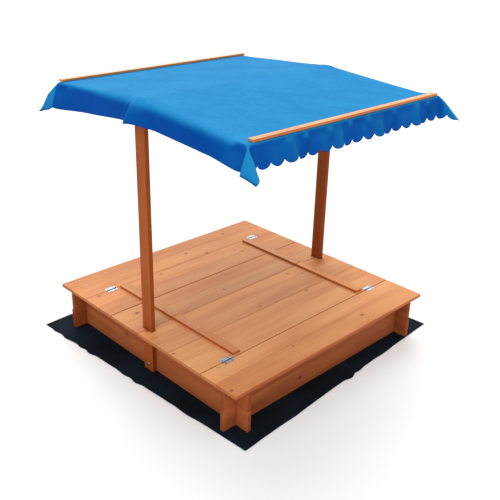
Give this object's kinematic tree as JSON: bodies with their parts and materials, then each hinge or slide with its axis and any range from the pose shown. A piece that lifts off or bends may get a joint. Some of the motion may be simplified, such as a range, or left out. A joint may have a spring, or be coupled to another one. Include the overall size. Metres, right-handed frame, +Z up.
{
  "type": "sandbox",
  "caption": "Square wooden sandbox with a plank lid that folds open into two benches with backrests, and a fabric canopy that tilts on two side posts.",
  "frame": {"origin": "on the ground, under the centre of the square lid", "axes": "+Z up; X along the planks of the lid, through the two posts; +Y towards the rear half of the lid"},
  "size_m": [1.3748, 1.3748, 1.19],
  "materials": {
    "lid_wood": "planed softwood, thin honey-coloured stain",
    "wall_wood": "planed softwood, brown stain",
    "post_wood": "planed softwood, amber stain",
    "frame_wood": "planed softwood, stained",
    "trim_wood": "planed softwood, pale stain",
    "canopy_cloth": "coated woven polyester, matt",
    "ground_sheet": "black nonwoven weed cloth",
    "zinc": "bright zinc plating"
  },
  "bodies": {
    "box": {"front_left_top_hinge_seat_leaf": "zinc", "front_right_top_hinge_seat_leaf": "zinc", "front_seat_plank_inner": "lid_wood", "front_seat_plank_outer": "lid_wood", "front_wall_lower": "wall_wood", "front_wall_upper": "wall_wood", "ground_sheet": "ground_sheet", "left_post": "post_wood", "left_post_bolt_lower": "zinc", "left_post_bolt_upper": "zinc", "left_wall_lower": "wall_wood", "left_wall_upper": "wall_wood", "rear_left_top_hinge_seat_leaf": "zinc", "rear_right_top_hinge_seat_leaf": "zinc", "rear_seat_plank_inner": "lid_wood", "rear_seat_plank_outer": "lid_wood", "rear_wall_lower": "wall_wood", "rear_wall_upper": "wall_wood", "right_post": "post_wood", "right_post_bolt_lower": "zinc", "right_post_bolt_upper": "zinc", "right_wall_lower": "wall_wood", "right_wall_upper": "wall_wood"},
    "rear_flap": {"rear_flap_plank_inner": "lid_wood", "rear_flap_plank_outer": "lid_wood", "rear_left_top_hinge_flap_leaf": "zinc", "rear_left_under_hinge_flap_leaf": "zinc", "rear_right_top_hinge_flap_leaf": "zinc", "rear_right_under_hinge_flap_leaf": "zinc"},
    "rear_backrest": {"rear_backrest_plank_inner": "lid_wood", "rear_backrest_plank_outer": "lid_wood", "rear_left_batten": "lid_wood", "rear_left_under_hinge_backrest_leaf": "zinc", "rear_right_batten": "lid_wood", "rear_right_under_hinge_backrest_leaf": "zinc"},
    "front_flap": {"front_flap_plank_inner": "lid_wood", "front_flap_plank_outer": "lid_wood", "front_left_top_hinge_flap_leaf": "zinc", "front_left_under_hinge_flap_leaf": "zinc", "front_right_top_hinge_flap_leaf": "zinc", "front_right_under_hinge_flap_leaf": "zinc"},
    "front_backrest": {"front_backrest_plank_inner": "lid_wood", "front_backrest_plank_outer": "lid_wood", "front_left_batten": "lid_wood", "front_left_under_hinge_backrest_leaf": "zinc", "front_right_batten": "lid_wood", "front_right_under_hinge_backrest_leaf": "zinc"},
    "canopy": {"canopy_cloth": "canopy_cloth", "front_clamp_strip": "trim_wood", "front_end_rail": "frame_wood", "left_canopy_arm": "frame_wood", "left_pivot_bolt": "zinc", "left_pivot_nut": "zinc", "rear_clamp_strip": "trim_wood", "rear_end_rail": "frame_wood", "ridge_bar": "frame_wood", "right_canopy_arm": "frame_wood", "right_pivot_bolt": "zinc", "right_pivot_nut": "zinc"}
  },
  "joints": [
    {"name": "rear_flap_fold", "type": "hinge", "parent": "box", "child": "rear_flap", "pos_m": [0, 0.4, 0.2057], "axis": [-1, 0, 0], "range_deg": [0, 180]},
    {"name": "rear_backrest_fold", "type": "hinge", "parent": "rear_flap", "child": "rear_backrest", "pos_m": [0, 0.2, 0.1853], "axis": [1, 0, 0], "range_deg": [0, 116]},
    {"name": "front_flap_fold", "type": "hinge", "parent": "box", "child": "front_flap", "pos_m": [0, -0.4, 0.2057], "axis": [1, 0, 0], "range_deg": [0, 180]},
    {"name": "front_backrest_fold", "type": "hinge", "parent": "front_flap", "child": "front_backrest", "pos_m": [0, -0.2, 0.1853], "axis": [-1, 0, 0], "range_deg": [0, 116]},
    {"name": "canopy_tilt", "type": "hinge", "parent": "box", "child": "canopy", "pos_m": [0, 0, 1.128], "axis": [1, 0, 0], "range_deg": [-30, 30]}
  ],
  "couplings": [
    {"joint": "rear_backrest_fold", "follows": "rear_flap_fold", "ratio": 0.6389},
    {"joint": "front_backrest_fold", "follows": "front_flap_fold", "ratio": 0.6389}
  ]
}
